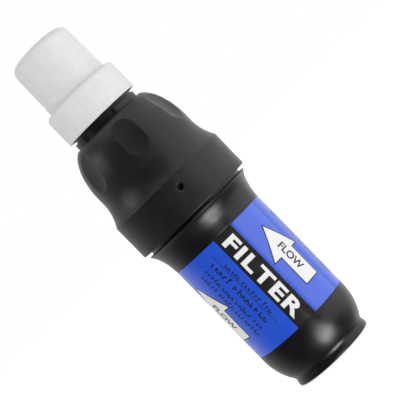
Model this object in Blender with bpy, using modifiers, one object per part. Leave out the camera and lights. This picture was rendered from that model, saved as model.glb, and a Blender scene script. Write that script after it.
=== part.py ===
"""Squeeze water filter: a hollow-fibre cartridge in a two-part housing under a push-pull cap.

Metres, +Z up. The origin is the centre of the inlet rim, the water runs up, and -Y is the
front: the side with the small hole, and with a finger dimple facing it. Every turned piece is
on the Z axis, which is also the axis of every joint. An angle phi is measured from -Y to +X.
"""

import math

import bmesh
import bpy
from mathutils import Matrix, Vector

MM = 0.001
GAP = 0.3 * MM  # clearance between neighbouring solids
MERGE = 0.01 * MM
SHARP_ANGLE = math.radians(34)

# Facets round a turned piece
COARSE = 36
MEDIUM = 30
FINE = 24

# Barrel, from the inlet rim up
RIM_R = 15.4 * MM
LIP_R = 16.05 * MM
BARREL_R = 19.6 * MM
DOME_TOP_Z = 16.0 * MM
DOME_END_Z = 4.2 * MM
DOME_SIZE = (11.7 * MM, 17.0 * MM)  # half axes of the dome's elliptical outline, across and down
FLARE_Z = 59.6 * MM
FLANGE_Z = 69.6 * MM
FLANGE_R = 22.8 * MM
BARREL_BORE_R = 17.2 * MM
SPIGOT_R = 21.0 * MM
SPIGOT_BORE_R = 18.2 * MM
SPIGOT_TOP_Z = 86.2 * MM
LIP_BOTTOM_Z = 0.9 * MM
LIP_TOP_Z = 2.0 * MM
LIP_NECK_R = 15.78 * MM
LIP_NECK_Z = 3.0 * MM
BORE_STEP = 3.0 * MM  # height of the cone between the barrel's bore and the spigot's

# Label recess and the printed film in it
LABEL_BOTTOM_Z = 17.5 * MM
LABEL_TOP_Z = 59.2 * MM
LABEL_THICKNESS = 0.3 * MM

# Screw thread of a 28 mm bottle, used at the inlet and under the cap
THREAD_PITCH = 3.18 * MM
THREAD_ROOT_R = 13.9 * MM
RIDGE_R = 0.75 * MM
RIDGE_OFFSET = 0.05 * MM  # keeps a ridge's middle off the wall's own surface
THREAD_STEPS = 20
INLET_THREAD_Z = 1.6 * MM
INLET_TURNS = 2.0
NECK_THREAD_Z = 119.9 * MM
NECK_TURNS = 1.5
CAP_THREAD_Z = NECK_THREAD_Z - THREAD_PITCH / 2
CAP_TURNS = 1.25

# Inlet socket
SOCKET_DEPTH = 11.5 * MM
SOCKET_MOUTH_R = 14.2 * MM
MOUTH_CHAMFER = 0.4 * MM
INLET_R = 10.0 * MM
INLET_FLOOR_Z = 13.5 * MM
GASKET_THICKNESS = 1.5 * MM
GASKET_INNER_R = 9.4 * MM
GASKET_SIDE_GAP = 0.5 * MM

# Outlet head
HEAD_BOTTOM_Z = 70.9 * MM
HEAD_SKIRT_R = 24.1 * MM
HEAD_SKIRT_TOP_Z = 85.0 * MM
HEAD_SKIRT_BORE_R = 21.6 * MM
HEAD_BORE_R = 17.3 * MM
HEAD_ROOF_Z = 106.5 * MM
WAIST_R = 21.4 * MM
WAIST_BOTTOM_Z = 94.2 * MM
WAIST_TOP_Z = 97.0 * MM
WAIST_STEPS = 4
SHOULDER_Z = 113.7 * MM
SHOULDER_SIZE = (8.8 * MM, 17.5 * MM)  # half axes of the shoulder's elliptical outline, across and up
NECK_R = 12.93 * MM
NECK_BORE_R = 10.4 * MM
NECK_TOP_Z = 126.6 * MM
NECK_CHAMFER = 0.4 * MM
SKIRT_CHAMFER = 0.3 * MM
ROOF_THICKNESS = 2.2 * MM
SPIGOT_ROOM = 0.4 * MM
HOLE_Z = 80.3 * MM
HOLE_R = 1.05 * MM
HOLE_RING_R = 1.7 * MM
HOLE_RING_DEPTH = 0.4 * MM
HOLE_FACETS = 16

# Finger dimples: scoops cut by an ellipsoid that leans with the shoulder
DIMPLES = 6
DIMPLE_Z = 104.5 * MM
DIMPLE_CENTRE_R = 22.2 * MM
DIMPLE_LEAN = math.radians(15)
DIMPLE_SIZE = (5.4 * MM, 2.9 * MM, 9.2 * MM)

# Lugs at the foot of the neck
LUGS = 3
LUG_R = 14.1 * MM
LUG_TOP_Z = 116.0 * MM
LUG_CHAMFER = 0.3 * MM
LUG_GAP = math.radians(63)
LUG_GAP_PHI = math.radians(-18.8)
LUG_GAP_SINK = 0.06 * MM

# Screw cap
CAP_R = 15.4 * MM
CAP_BOTTOM_Z = 117.2 * MM
CAP_EDGE_Z = 127.6 * MM
CAP_BORE_R = 14.15 * MM
DECK_Z = 129.5 * MM
DECK_R = 13.4 * MM
DECK_THICKNESS = 1.5 * MM
SNAP_RING_R = 11.25 * MM
SNAP_RING_INNER_R = 10.55 * MM
SNAP_RING_TOP_Z = 131.8 * MM
CHIMNEY_R = 6.9 * MM
CHIMNEY_BORE_R = 5.5 * MM
CHIMNEY_TOP_Z = 138.2 * MM
POST_R = 1.7 * MM
POST_TOP_Z = 143.4 * MM
POST_TIP_R = 1.2 * MM
POST_TIP_HEIGHT = 0.7 * MM
POST_FACETS = 16
SPOKES = 3
SPOKE_WIDTH = 1.8 * MM
SPOKE_SINK = 0.6 * MM  # how far a spoke runs into the chimney's wall

# Sealing washer in the screw cap
LINER_INNER_R = 9.6 * MM
LINER_R = 13.0 * MM

# Push-pull spout
SPOUT_TOP_Z = 143.7 * MM
SPOUT_R = 9.6 * MM
SPOUT_BODY_R = 9.0 * MM
SPOUT_FOOT_HEIGHT = 1.2 * MM
SPOUT_RUNNING_GAP = 0.35 * MM
SPOUT_LEDGE_GAP = 0.4 * MM
SPOUT_TIP_THICKNESS = 1.5 * MM
SPOUT_NECK_R = 6.3 * MM
SPOUT_LIP_R = 7.6 * MM
SPOUT_LIP_BEVEL = 1.2 * MM
SPOUT_LIP_HEIGHT = 1.9 * MM
SPOUT_HOLE_R = 2.1 * MM
SPOUT_PASSAGE_R = 4.6 * MM

# Dust cap
OVERCAP_TOP_Z = 151.4 * MM
OVERCAP_R = 12.8 * MM
OVERCAP_TOP_R = 12.35 * MM
OVERCAP_EDGE_Z = 147.7 * MM
OVERCAP_WALL = 1.15 * MM

# Fibre cartridge
SLEEVE_BOTTOM_Z = 15.5 * MM
SLEEVE_R = 16.2 * MM
SLEEVE_BORE_R = 15.0 * MM
COLLAR_Z = 91.0 * MM
COLLAR_R = 16.9 * MM
COLLAR_BORE_R = 13.9 * MM
CARTRIDGE_TOP_Z = 105.5 * MM
PLUG_BOTTOM_Z = 96.0 * MM
WINDOW_WIDTH = 8.0 * MM
WINDOW_ROWS = 2
WINDOW_SIDES = 6
WINDOW_FOOT = 5.0 * MM
WINDOW_BRIDGE = 4.0 * MM
COLLAR_TAPER = 1.0 * MM
STRAINER_R = 16.4 * MM
STRAINER_THICKNESS = 1.4 * MM
STRAINER_HOLES = 6
STRAINER_HOLE_R = 2.1 * MM
STRAINER_HOLE_RING_R = 6.2 * MM
HOLE_STEPS = 12
HANK_R = 1.3 * MM
HANK_SPACING = 4.2 * MM
HANK_BEND_Z = 21.0 * MM
HANK_BEND_STEPS = 6
PLUG_HOLE_R = 1.8 * MM
PLUG_HOLE_STEPS = 8
OUTER_RING = (8, 10.8 * MM)
INNER_RING = (4, 6.0 * MM)

# O-rings
O_RING_R = 0.75 * MM
O_RING_STEPS = 8
HEAD_O_RING_Z = 83.7 * MM
HEAD_O_RING_MAJOR_R = 20.5 * MM
CARTRIDGE_O_RING_Z = 93.5 * MM
CARTRIDGE_O_RING_MAJOR_R = 16.2 * MM

BLACK = (0.032, 0.030, 0.033)
BLACK_GLOSS = (0.018, 0.016, 0.019)
WHITE = (0.80, 0.80, 0.82)
FROSTED = (0.82, 0.83, 0.84)
BLUE = (0.035, 0.085, 0.72)
RUBBER = (0.03, 0.03, 0.03)
GREY_RUBBER = (0.35, 0.36, 0.37)
RESIN = (0.62, 0.50, 0.30)
FIBRE = (0.85, 0.84, 0.80)
GREY_PLASTIC = (0.55, 0.56, 0.57)


def clear_scene():
    for obj in list(bpy.data.objects):
        bpy.data.objects.remove(obj, do_unlink=True)


def new_collection(name):
    collection = bpy.data.collections.new(name)
    bpy.context.scene.collection.children.link(collection)
    return collection


def make_material(name, color, roughness, transmission=0.0):
    material = bpy.data.materials.new(name)
    material.use_nodes = True
    shader = material.node_tree.nodes["Principled BSDF"]
    shader.inputs["Base Color"].default_value = (*color, 1.0)
    shader.inputs["Roughness"].default_value = roughness
    shader.inputs["Metallic"].default_value = 0.0
    shader.inputs["Transmission Weight"].default_value = transmission
    material.diffuse_color = (*color, 1.0)
    return material


def link(name, mesh):
    obj = bpy.data.objects.new(name, mesh)
    filter_parts.objects.link(obj)
    return obj


def as_cutter(obj):
    """Moves a tool shape to the hidden collection."""
    for collection in list(obj.users_collection):
        collection.objects.unlink(obj)
    cutters.objects.link(obj)
    obj.hide_render = True
    obj.display_type = "WIRE"
    return obj


# Outlines, as (radius, height) points


def catmull_rom(a, b, c, d, t):
    """The value between b and c at t, where a and d are the values before and after them."""
    linear = (c - a) * t
    square = (2 * a - 5 * b + 4 * c - d) * t**2
    cube = (3 * b - a - 3 * c + d) * t**3
    return b + 0.5 * (linear + square + cube)


def smooth(points, steps):
    """A smooth outline through the points, with this many steps from each to the next."""
    ends = [points[0]] + list(points) + [points[-1]]
    curve = []
    for stretch in zip(ends, ends[1:], ends[2:], ends[3:]):
        for step in range(steps):
            curve.append(tuple(catmull_rom(*values, step / steps) for values in zip(*stretch)))
    curve.append(tuple(points[-1]))
    return curve


def in_mm(points):
    return [(radius * MM, height * MM) for radius, height in points]


def rounding(widest_r, level, size, end_z, steps):
    """An elliptical outline from where it is widest, at this level, to another height."""
    reach, rise = size
    last = math.asin((end_z - level) / rise)
    angles = [last * step / steps for step in range(steps + 1)]
    return [(widest_r - reach * (1 - math.cos(a)), level + rise * math.sin(a)) for a in angles]


def circle_outline(centre_r, centre_z, radius, steps):
    """A circle run clockwise, so that its outer side goes down."""
    angles = [-2 * math.pi * step / steps for step in range(steps)]
    return [(centre_r + radius * math.cos(a), centre_z + radius * math.sin(a)) for a in angles]


# Solids


def turned(name, outline, segments):
    """A solid of revolution. The outline runs down the outer side, and up the inner side of a ring."""
    mesh = bpy.data.meshes.new(name)
    count = len(outline)
    edges = [(index, index + 1) for index in range(count - 1)]
    if outline[0][0] > 0:
        edges.append((count - 1, 0))
    mesh.from_pydata([(radius, 0.0, height) for radius, height in outline], edges, [])
    obj = link(name, mesh)
    screw = obj.modifiers.new("Turn", "SCREW")
    screw.steps = segments
    screw.render_steps = segments
    screw.use_merge_vertices = True
    screw.merge_threshold = MERGE
    screw.use_smooth_shade = True
    return obj


def combine(obj, tool, operation):
    modifier = obj.modifiers.new(operation.capitalize(), "BOOLEAN")
    modifier.operation = operation
    modifier.solver = "EXACT"
    modifier.object = tool


def cut(obj, *tools):
    for tool in tools:
        combine(obj, as_cutter(tool), "DIFFERENCE")


def join(obj, *tools):
    for tool in tools:
        combine(obj, as_cutter(tool), "UNION")


def finish(obj, material):
    """Applies the modifiers, shades the rounds smooth and gives the piece its material."""
    graph = bpy.context.evaluated_depsgraph_get()
    mesh = bpy.data.meshes.new_from_object(obj.evaluated_get(graph))
    obj.modifiers.clear()
    obj.data = mesh
    mesh.name = obj.name
    mesh.materials.clear()
    mesh.materials.append(material)
    mesh.shade_smooth()
    mesh.set_sharp_from_angle(angle=SHARP_ANGLE)
    return obj


def mesh_of_curve(curve_obj):
    """The curve as a welded mesh object, in the curve's place."""
    graph = bpy.context.evaluated_depsgraph_get()
    mesh = bpy.data.meshes.new_from_object(curve_obj.evaluated_get(graph))
    welded = bmesh.new()
    welded.from_mesh(mesh)
    bmesh.ops.remove_doubles(welded, verts=welded.verts, dist=MERGE)
    bmesh.ops.recalc_face_normals(welded, faces=welded.faces)
    welded.to_mesh(mesh)
    welded.free()
    name = curve_obj.name
    place = curve_obj.matrix_world.copy()
    bpy.data.objects.remove(curve_obj, do_unlink=True)
    obj = link(name, mesh)
    obj.matrix_world = place
    return obj


def tube(name, points, radius, resolution, taper_points=0):
    """A round bar along the points, thinner over its first and last few points if it tapers."""
    curve = bpy.data.curves.new(name, "CURVE")
    curve.dimensions = "3D"
    curve.bevel_depth = radius
    curve.bevel_resolution = resolution
    curve.use_fill_caps = True
    spline = curve.splines.new("POLY")
    spline.points.add(len(points) - 1)
    for index, point in enumerate(points):
        from_end = min(index, len(points) - 1 - index)
        spline.points[index].co = (*point, 1.0)
        if from_end < taper_points:
            spline.points[index].radius = 0.35 + 0.65 * from_end / taper_points
    return mesh_of_curve(link(name, curve))


def thread_ridge(name, radius, start_z, turns):
    """A right-handed helical ridge with tapered ends, centred on this radius."""
    count = round(turns * THREAD_STEPS)
    points = []
    for index in range(count + 1):
        angle = 2 * math.pi * index / THREAD_STEPS
        height = start_z + THREAD_PITCH * index / THREAD_STEPS
        points.append((radius * math.cos(angle), radius * math.sin(angle), height))
    return tube(name, points, RIDGE_R, 2, taper_points=3)


def cylinder(name, radius, depth, place, vertices):
    bpy.ops.mesh.primitive_cylinder_add(vertices=vertices, radius=radius, depth=depth)
    obj = bpy.context.object
    obj.name = name
    obj.matrix_world = place
    return obj


def box(name, size, place):
    mesh = bpy.data.meshes.new(name)
    shape = bmesh.new()
    bmesh.ops.create_cube(shape, size=1.0)
    bmesh.ops.scale(shape, verts=shape.verts, vec=size)
    shape.to_mesh(mesh)
    shape.free()
    obj = link(name, mesh)
    obj.matrix_world = place
    return obj


def facing(phi):
    """The rotation that carries the front (-Y) round to this angle."""
    return Matrix.Rotation(phi, 4, "Z")


# Barrel and inlet


def inlet_thread():
    return thread_ridge("inlet_thread", THREAD_ROOT_R + RIDGE_OFFSET, INLET_THREAD_Z, INLET_TURNS)


def make_barrel():
    recess_r = BARREL_R - LABEL_THICKNESS - GAP
    groove_r = HEAD_O_RING_MAJOR_R - O_RING_R - GAP
    groove_half = O_RING_R + GAP
    spigot = [
        (SPIGOT_BORE_R, SPIGOT_TOP_Z),
        (SPIGOT_R, SPIGOT_TOP_Z),
        (SPIGOT_R, HEAD_O_RING_Z + groove_half),
        (groove_r, HEAD_O_RING_Z + groove_half),
        (groove_r, HEAD_O_RING_Z - groove_half),
        (SPIGOT_R, HEAD_O_RING_Z - groove_half),
        (SPIGOT_R, FLANGE_Z),
    ]
    flare = smooth(
        [(FLANGE_R, FLANGE_Z - 0.1 * MM)]
        + in_mm([(21.75, 68.05), (20.85, 66.0), (20.12, 63.5)])
        + [(BARREL_R + 0.05 * MM, FLARE_Z)],
        2,
    )
    recess = [
        (BARREL_R, LABEL_TOP_Z),
        (recess_r, LABEL_TOP_Z),
        (recess_r, LABEL_BOTTOM_Z),
        (BARREL_R, LABEL_BOTTOM_Z),
    ]
    dome = rounding(BARREL_R, DOME_TOP_Z, DOME_SIZE, DOME_END_Z, 6)
    rim = [
        (LIP_NECK_R, LIP_NECK_Z),
        (LIP_R, LIP_TOP_Z),
        (LIP_R, LIP_BOTTOM_Z),
        (RIM_R, 0.0),
        (SOCKET_MOUTH_R, 0.0),
        (THREAD_ROOT_R, MOUTH_CHAMFER),
    ]
    inside = [
        (THREAD_ROOT_R, SOCKET_DEPTH),
        (INLET_R, SOCKET_DEPTH),
        (INLET_R, INLET_FLOOR_Z),
        (BARREL_BORE_R, INLET_FLOOR_Z),
        (BARREL_BORE_R, FLANGE_Z - BORE_STEP),
        (SPIGOT_BORE_R, FLANGE_Z),
    ]
    barrel = turned("barrel", spigot + flare + recess + dome + rim + inside, COARSE)
    join(barrel, inlet_thread())
    return finish(barrel, barrel_black)


def make_label():
    top = LABEL_TOP_Z - GAP
    bottom = LABEL_BOTTOM_Z + GAP
    outline = [
        (BARREL_R - LABEL_THICKNESS, top),
        (BARREL_R, top),
        (BARREL_R, bottom),
        (BARREL_R - LABEL_THICKNESS, bottom),
    ]
    return finish(turned("wrap_label", outline, COARSE), label_blue)


def washer(name, inner_r, outer_r, bottom_z, top_z, segments, material):
    outline = [(inner_r, top_z), (outer_r, top_z), (outer_r, bottom_z), (inner_r, bottom_z)]
    return finish(turned(name, outline, segments), material)


def make_gasket():
    top = SOCKET_DEPTH - GAP
    outer_r = THREAD_ROOT_R - GASKET_SIDE_GAP
    return washer("inlet_gasket", GASKET_INNER_R, outer_r, top - GASKET_THICKNESS, top, MEDIUM, rubber)


def make_strainer():
    bottom = INLET_FLOOR_Z + GAP
    top = bottom + STRAINER_THICKNESS
    outline = [(0.0, top), (STRAINER_R, top), (STRAINER_R, bottom), (0.0, bottom)]
    disc = turned("inlet_strainer", outline, MEDIUM)
    holes = [(0.0, 0.0)]
    for index in range(STRAINER_HOLES):
        holes.append((STRAINER_HOLE_RING_R, 2 * math.pi * index / STRAINER_HOLES))
    depth = 4 * STRAINER_THICKNESS
    for index, (reach, phi) in enumerate(holes):
        place = facing(phi) @ Matrix.Translation((0.0, -reach, bottom))
        cut(disc, cylinder(f"strainer_hole_{index}", STRAINER_HOLE_R, depth, place, HOLE_STEPS))
    return finish(disc, grey_plastic)


# Outlet head


def head_outside():
    """From the top of the neck down to the bottom of the skirt."""
    neck = [
        (NECK_BORE_R, NECK_TOP_Z),
        (NECK_R - NECK_CHAMFER, NECK_TOP_Z),
        (NECK_R, NECK_TOP_Z - NECK_CHAMFER),
        (NECK_R, LUG_TOP_Z),
        (LUG_R - LUG_CHAMFER, LUG_TOP_Z),
        (LUG_R, LUG_TOP_Z - LUG_CHAMFER),
        (LUG_R, SHOULDER_Z),
    ]
    shoulder = rounding(WAIST_R, WAIST_TOP_Z, SHOULDER_SIZE, SHOULDER_Z, 7)[::-1]
    waist = []
    for step in range(WAIST_STEPS + 1):
        down = step / WAIST_STEPS
        radius = WAIST_R + (HEAD_SKIRT_R - WAIST_R) * down**2
        waist.append((radius, WAIST_BOTTOM_Z + (HEAD_SKIRT_TOP_Z - WAIST_BOTTOM_Z) * down))
    skirt = [
        (HEAD_SKIRT_R, HEAD_BOTTOM_Z + SKIRT_CHAMFER),
        (HEAD_SKIRT_R - SKIRT_CHAMFER, HEAD_BOTTOM_Z),
    ]
    return neck + shoulder + waist + skirt


def head_inside():
    return [
        (HEAD_SKIRT_BORE_R, HEAD_BOTTOM_Z),
        (HEAD_SKIRT_BORE_R, SPIGOT_TOP_Z + SPIGOT_ROOM),
        (HEAD_BORE_R, SPIGOT_TOP_Z + SPIGOT_ROOM),
        (HEAD_BORE_R, HEAD_ROOF_Z),
        (NECK_BORE_R, SHOULDER_Z - ROOF_THICKNESS),
    ]


def dimple_cutter(index):
    mesh = bpy.data.meshes.new(f"dimple_cutter_{index}")
    shape = bmesh.new()
    bmesh.ops.create_uvsphere(shape, u_segments=14, v_segments=9, radius=1.0)
    bmesh.ops.scale(shape, verts=shape.verts, vec=DIMPLE_SIZE)
    shape.to_mesh(mesh)
    shape.free()
    obj = link(mesh.name, mesh)
    lean = Matrix.Rotation(-DIMPLE_LEAN, 4, "X")
    reach = Matrix.Translation((0.0, -DIMPLE_CENTRE_R, DIMPLE_Z))
    obj.matrix_world = facing(2 * math.pi * index / DIMPLES) @ reach @ lean
    return obj


def lug_gap_cutter(index):
    """A sector that clears the ring of lugs down to the neck."""
    low_z = SHOULDER_Z - LUG_GAP_SINK
    high_z = LUG_TOP_Z + 1.0 * MM
    curve = bpy.data.curves.new(f"lug_gap_{index}", "CURVE")
    curve.dimensions = "2D"
    curve.fill_mode = "BOTH"
    curve.extrude = (high_z - low_z) / 2
    inner_r = NECK_R + LUG_GAP_SINK
    outer_r = LUG_R + 0.4 * MM
    angles = [LUG_GAP * (step / 6 - 0.5) for step in range(7)]
    outline = [(outer_r, a) for a in angles] + [(inner_r, a) for a in reversed(angles)]
    spline = curve.splines.new("POLY")
    spline.points.add(len(outline) - 1)
    for point, (radius, angle) in zip(spline.points, outline):
        point.co = (radius * math.sin(angle), -radius * math.cos(angle), 0.0, 1.0)
    spline.use_cyclic_u = True
    obj = link(curve.name, curve)
    phi = LUG_GAP_PHI + 2 * math.pi * index / LUGS
    obj.matrix_world = facing(phi) @ Matrix.Translation((0.0, 0.0, (low_z + high_z) / 2))
    bpy.context.view_layer.update()
    return mesh_of_curve(obj)


def hole_cutter(name, radius, depth):
    """A horizontal bore into the front of the skirt, to this depth below its surface."""
    length = depth + 1.0 * MM
    middle = HEAD_SKIRT_R + 1.0 * MM - length / 2
    half_facet = Matrix.Rotation(math.pi / HOLE_FACETS, 4, "Z")
    place = Matrix.Translation((0.0, -middle, HOLE_Z)) @ Matrix.Rotation(math.pi / 2, 4, "X") @ half_facet
    return cylinder(name, radius, length, place, HOLE_FACETS)


def make_head():
    head = turned("outlet_head", head_outside() + head_inside(), COARSE)
    for index in range(DIMPLES):
        cut(head, dimple_cutter(index))
    for index in range(LUGS):
        cut(head, lug_gap_cutter(index))
    through = HEAD_SKIRT_R - HEAD_SKIRT_BORE_R + 0.5 * MM
    cut(head, hole_cutter("front_hole", HOLE_R, through))
    cut(head, hole_cutter("front_hole_ring", HOLE_RING_R, HOLE_RING_DEPTH))
    join(head, thread_ridge("neck_thread", NECK_R + RIDGE_OFFSET, NECK_THREAD_Z, NECK_TURNS))
    return finish(head, head_black)


# Cap, liner, spout and dust cap


def make_liner():
    bottom = NECK_TOP_Z + GAP
    top = DECK_Z - DECK_THICKNESS - GAP
    return washer("cap_liner", LINER_INNER_R, LINER_R, bottom, top, MEDIUM, grey_rubber)


def post_and_spokes():
    """The fixed post that plugs the spout, and the spokes that hold it in the chimney."""
    foot = DECK_Z - DECK_THICKNESS
    post_outline = [
        (0.0, POST_TOP_Z),
        (POST_TIP_R, POST_TOP_Z),
        (POST_R, POST_TOP_Z - POST_TIP_HEIGHT),
        (POST_R, foot),
        (0.0, foot),
    ]
    tools = [turned("cap_post", post_outline, POST_FACETS)]
    length = CHIMNEY_BORE_R + SPOKE_SINK
    for index in range(SPOKES):
        middle = Matrix.Translation((0.0, -length / 2, foot + DECK_THICKNESS / 2))
        place = facing(2 * math.pi * index / SPOKES) @ middle
        tools.append(box(f"cap_spoke_{index}", (SPOKE_WIDTH, length, DECK_THICKNESS), place))
    return tools


def make_cap():
    underside = DECK_Z - DECK_THICKNESS
    outline = [
        (CHIMNEY_BORE_R, CHIMNEY_TOP_Z),
        (CHIMNEY_R, CHIMNEY_TOP_Z),
        (CHIMNEY_R, DECK_Z),
        (SNAP_RING_INNER_R, DECK_Z),
        (SNAP_RING_INNER_R, SNAP_RING_TOP_Z),
        (SNAP_RING_R, SNAP_RING_TOP_Z),
        (SNAP_RING_R, DECK_Z),
    ]
    shoulder = [(DECK_R, DECK_Z)] + in_mm([(14.35, 129.2), (15.05, 128.7)]) + [(CAP_R, CAP_EDGE_Z)]
    outline += smooth(shoulder, 2)
    outline += [
        (CAP_R, CAP_BOTTOM_Z),
        (CAP_BORE_R, CAP_BOTTOM_Z),
        (CAP_BORE_R, underside),
        (CHIMNEY_BORE_R, underside),
    ]
    cap = turned("screw_cap", outline, COARSE)
    join(cap, thread_ridge("cap_thread", CAP_BORE_R - RIDGE_OFFSET, CAP_THREAD_Z, CAP_TURNS))
    join(cap, *post_and_spokes())
    return finish(cap, cap_white)


def make_spout():
    bottom = DECK_Z + GAP
    bore_r = CHIMNEY_R + SPOUT_RUNNING_GAP
    ledge = CHIMNEY_TOP_Z + SPOUT_LEDGE_GAP
    outside = [
        (SPOUT_HOLE_R, SPOUT_TOP_Z),
        (SPOUT_LIP_R - SPOUT_LIP_BEVEL, SPOUT_TOP_Z),
        (SPOUT_LIP_R, SPOUT_TOP_Z - 0.75 * SPOUT_LIP_BEVEL),
        (SPOUT_LIP_R, SPOUT_TOP_Z - SPOUT_LIP_HEIGHT),
        (SPOUT_NECK_R, SPOUT_TOP_Z - 1.6 * SPOUT_LIP_HEIGHT),
    ]
    outside += in_mm([(6.3, 140.2), (8.35, 137.8), (9.0, 135.4)])
    outside += [
        (SPOUT_BODY_R, bottom + SPOUT_FOOT_HEIGHT + 0.2 * MM),
        (SPOUT_R, bottom + SPOUT_FOOT_HEIGHT),
        (SPOUT_R, bottom),
    ]
    inside = [
        (bore_r, bottom),
        (bore_r, ledge),
        (SPOUT_PASSAGE_R, ledge),
        (SPOUT_PASSAGE_R, SPOUT_TOP_Z - SPOUT_TIP_THICKNESS),
        (SPOUT_HOLE_R, SPOUT_TOP_Z - SPOUT_TIP_THICKNESS),
    ]
    return finish(turned("pull_spout", outside + inside, FINE), spout_white)


def make_overcap():
    bottom = DECK_Z + GAP
    outside = smooth(
        [(0.0, OVERCAP_TOP_Z)]
        + in_mm([(4.4, 151.3), (9.15, 150.6), (11.45, 149.35)])
        + [(OVERCAP_TOP_R, OVERCAP_EDGE_Z)],
        1,
    )
    wall = [(OVERCAP_R, bottom), (OVERCAP_R - OVERCAP_WALL, bottom)]
    top_r = OVERCAP_TOP_R - OVERCAP_WALL
    inside = smooth(
        [(top_r, OVERCAP_EDGE_Z - 0.3 * MM)]
        + in_mm([(10.5, 148.75), (8.7, 149.6), (4.4, 150.2)])
        + [(0.0, OVERCAP_TOP_Z - 1.1 * MM)],
        1,
    )
    return finish(turned("overcap", outside + wall + inside, COARSE), frosted)


# Cartridge


def make_sleeve():
    groove_r = CARTRIDGE_O_RING_MAJOR_R - O_RING_R - GAP
    groove_half = O_RING_R + GAP
    outline = [
        (COLLAR_BORE_R, CARTRIDGE_TOP_Z),
        (COLLAR_R, CARTRIDGE_TOP_Z),
        (COLLAR_R, CARTRIDGE_O_RING_Z + groove_half),
        (groove_r, CARTRIDGE_O_RING_Z + groove_half),
        (groove_r, CARTRIDGE_O_RING_Z - groove_half),
        (COLLAR_R, CARTRIDGE_O_RING_Z - groove_half),
        (COLLAR_R, COLLAR_Z),
        (SLEEVE_R, COLLAR_Z - COLLAR_TAPER),
        (SLEEVE_R, SLEEVE_BOTTOM_Z),
        (SLEEVE_BORE_R, SLEEVE_BOTTOM_Z),
        (SLEEVE_BORE_R, COLLAR_Z - 2 * COLLAR_TAPER),
        (COLLAR_BORE_R, COLLAR_Z - COLLAR_TAPER),
    ]
    sleeve = turned("cartridge_sleeve", outline, MEDIUM)
    first = SLEEVE_BOTTOM_Z + WINDOW_FOOT
    pitch = (COLLAR_Z - 3 * COLLAR_TAPER - first) / WINDOW_ROWS
    size = (WINDOW_WIDTH, 3 * SLEEVE_R, pitch - WINDOW_BRIDGE)
    for row in range(WINDOW_ROWS):
        middle = first + pitch * (row + 0.5)
        for pair in range(WINDOW_SIDES // 2):
            turn = facing(2 * math.pi * pair / WINDOW_SIDES)
            place = turn @ Matrix.Translation((0.0, 0.0, middle))
            cut(sleeve, box(f"window_{row}_{pair}", size, place))
    return finish(sleeve, grey_plastic)


def hank_places():
    """(middle of the two legs, direction from one leg to the other) of every U-shaped hank."""
    places = [(Vector((0.0, 0.0, 0.0)), Vector((1.0, 0.0, 0.0)))]
    for count, ring_r in (OUTER_RING, INNER_RING):
        half_step = math.pi / (2 * count)
        for index in range(count):
            turn = facing(2 * math.pi * index / count)
            middle = turn @ Vector((0.0, -ring_r * math.cos(half_step), 0.0))
            across = turn @ Vector((2 * ring_r * math.sin(half_step) / HANK_SPACING, 0.0, 0.0))
            places.append((middle, across))
    return places


def make_hank(number, middle, across):
    half = across * HANK_SPACING / 2
    bend_r = half.length
    points = [middle - half + Vector((0.0, 0.0, CARTRIDGE_TOP_Z))]
    for step in range(HANK_BEND_STEPS + 1):
        angle = math.pi * step / HANK_BEND_STEPS
        side = -math.cos(angle)
        drop = -math.sin(angle) * bend_r
        points.append(middle + half * side + Vector((0.0, 0.0, HANK_BEND_Z + bend_r + drop)))
    points.append(middle + half + Vector((0.0, 0.0, CARTRIDGE_TOP_Z)))
    return finish(tube(f"fibre_hank_{number:02d}", points, HANK_R, 1), fibre_white)


def make_plug(places):
    outer_r = COLLAR_BORE_R - GAP
    outline = [
        (0.0, CARTRIDGE_TOP_Z),
        (outer_r, CARTRIDGE_TOP_Z),
        (outer_r, PLUG_BOTTOM_Z),
        (0.0, PLUG_BOTTOM_Z),
    ]
    plug = turned("potting_plug", outline, MEDIUM)
    middle_z = (CARTRIDGE_TOP_Z + PLUG_BOTTOM_Z) / 2
    depth = CARTRIDGE_TOP_Z - PLUG_BOTTOM_Z + 2.0 * MM
    for number, (middle, across) in enumerate(places):
        for side in (-0.5, 0.5):
            centre = middle + across * (HANK_SPACING * side) + Vector((0.0, 0.0, middle_z))
            name = f"plug_hole_{number:02d}_{'a' if side < 0 else 'b'}"
            cut(plug, cylinder(name, PLUG_HOLE_R, depth, Matrix.Translation(centre), PLUG_HOLE_STEPS))
    return finish(plug, resin)


def make_o_ring(name, major_r, height):
    return finish(turned(name, circle_outline(major_r, height, O_RING_R, O_RING_STEPS), COARSE), rubber)


def group(name, height, pieces):
    """An empty on the filter's axis that carries the pieces of one moving group."""
    empty = bpy.data.objects.new(name, None)
    filter_parts.objects.link(empty)
    empty.empty_display_size = 10 * MM
    empty.location = (0.0, 0.0, height)
    bpy.context.view_layer.update()
    for piece in pieces:
        piece.parent = empty
        piece.matrix_parent_inverse = empty.matrix_world.inverted()


clear_scene()
filter_parts = new_collection("squeeze_water_filter")
cutters = new_collection("cutters")

head_black = make_material("head_black", BLACK, 0.45)
barrel_black = make_material("barrel_black", BLACK_GLOSS, 0.28)
label_blue = make_material("label_blue", BLUE, 0.35)
cap_white = make_material("cap_white", WHITE, 0.45)
spout_white = make_material("spout_white", WHITE, 0.35)
frosted = make_material("frosted", FROSTED, 0.5, transmission=0.3)
rubber = make_material("rubber", RUBBER, 0.6)
grey_rubber = make_material("grey_rubber", GREY_RUBBER, 0.6)
grey_plastic = make_material("grey_plastic", GREY_PLASTIC, 0.45)
resin = make_material("resin", RESIN, 0.3)
fibre_white = make_material("fibre_white", FIBRE, 0.7)

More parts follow.
